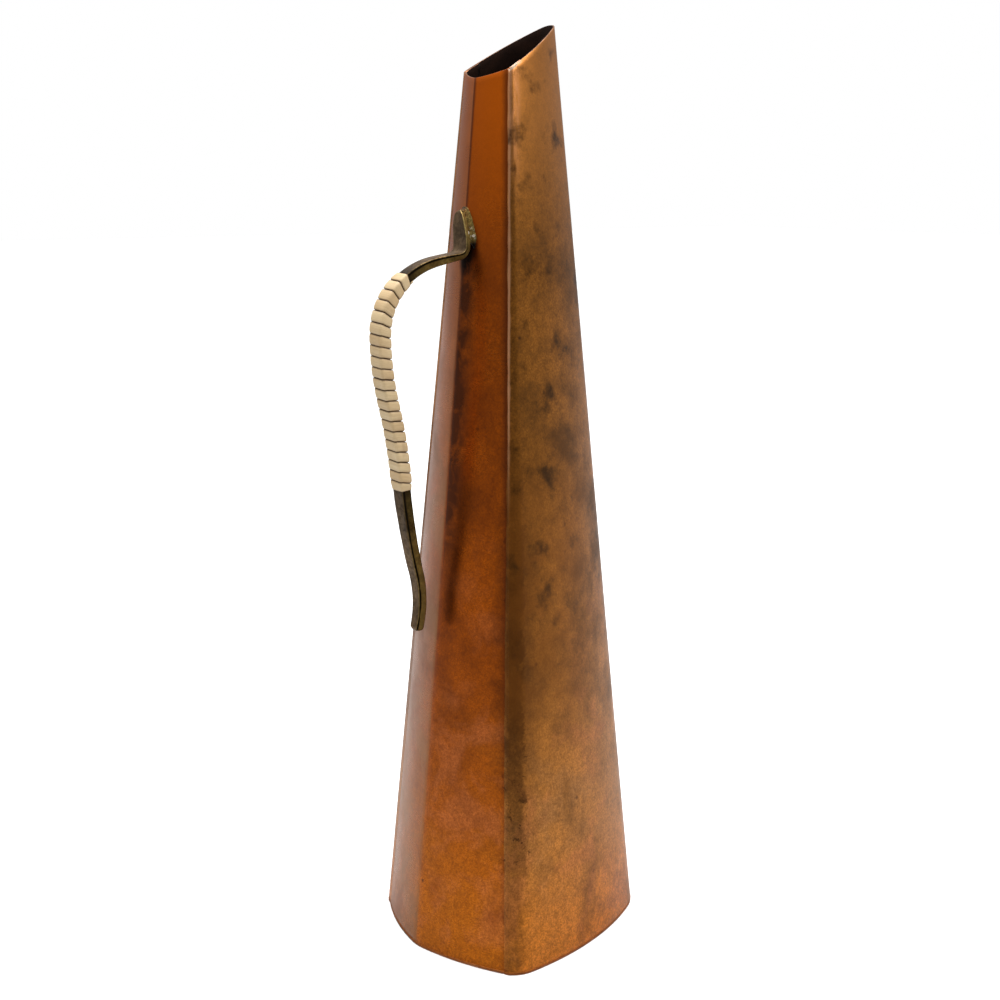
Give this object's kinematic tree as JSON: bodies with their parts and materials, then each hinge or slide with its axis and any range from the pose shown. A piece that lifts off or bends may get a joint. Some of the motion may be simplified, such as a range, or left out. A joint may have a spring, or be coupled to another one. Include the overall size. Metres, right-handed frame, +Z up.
{
  "type": "watering can",
  "caption": "Tall tapering copper watering can with a rounded triangular base, an obliquely cut pouring mouth and one open brass handle bound with cane.",
  "frame": {"origin": "middle of the base plate's underside, on the surface the can stands on", "axes": "+Z up, +X towards the pouring lip, -X towards the handle, +Y to the can's left when poured away from the user"},
  "size_m": [0.1475, 0.1126, 0.44],
  "materials": {
    "copper": "worn orange copper sheet with brown patina",
    "brass": "forged, darkened by handling, brighter on the arrises",
    "solder": "dull grey soft solder",
    "cane": "split cane, satin"
  },
  "bodies": {
    "root": {"rear_panel": "copper", "front_panel": "copper", "base_plate": "copper", "base_solder": "solder", "seam_solder_near": "solder", "seam_solder_far": "solder", "handle_bar": "brass", "handle_solder": "solder", "cane_binding": "cane"}
  },
  "joints": []
}
